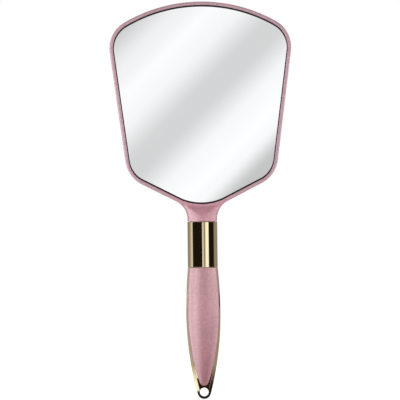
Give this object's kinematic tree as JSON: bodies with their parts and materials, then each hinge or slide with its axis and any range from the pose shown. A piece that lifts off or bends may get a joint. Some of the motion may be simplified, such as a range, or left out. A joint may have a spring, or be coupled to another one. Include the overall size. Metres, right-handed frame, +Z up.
{
  "type": "hand mirror",
  "caption": "Upright hand mirror with a keystone-shaped head, slim rim, metallic collar, and a barrel handle with inlaid grips and a hanging loop.",
  "frame": {"origin": "on the handle's axis at its thickest point, in the middle of the hand grip", "axes": "+Z runs up the handle to the head, the mirror faces -Y, and +X is to the right of someone who looks into the mirror"},
  "size_m": [0.1368, 0.024, 0.2995],
  "materials": {
    "frame_plastic": "dusty pink ABS with a fine pearl speckle, satin gloss",
    "silvered_glass": "flat silvered float glass with a ground edge",
    "gasket_rubber": "black, matte",
    "foam_tape": "white closed-cell foam",
    "insert_brass": "machined",
    "rod_steel": "zinc plated",
    "gold_plating": "pale gold electroplate on ABS, mirror gloss",
    "grip_plastic": "dusty pink ABS with a soft mottled speckle, satin"
  },
  "bodies": {
    "root": {"head_frame": "frame_plastic", "back_cover": "frame_plastic", "mirror_glass": "silvered_glass", "glass_gasket": "gasket_rubber", "tape_upper": "foam_tape", "tape_middle": "foam_tape", "tape_lower": "foam_tape", "neck_insert": "insert_brass", "tie_rod": "rod_steel", "rod_washer": "rod_steel", "rod_nut": "rod_steel", "gold_collar": "gold_plating", "handle_core": "gold_plating", "front_grip": "grip_plastic", "rear_grip": "grip_plastic"}
  },
  "joints": []
}
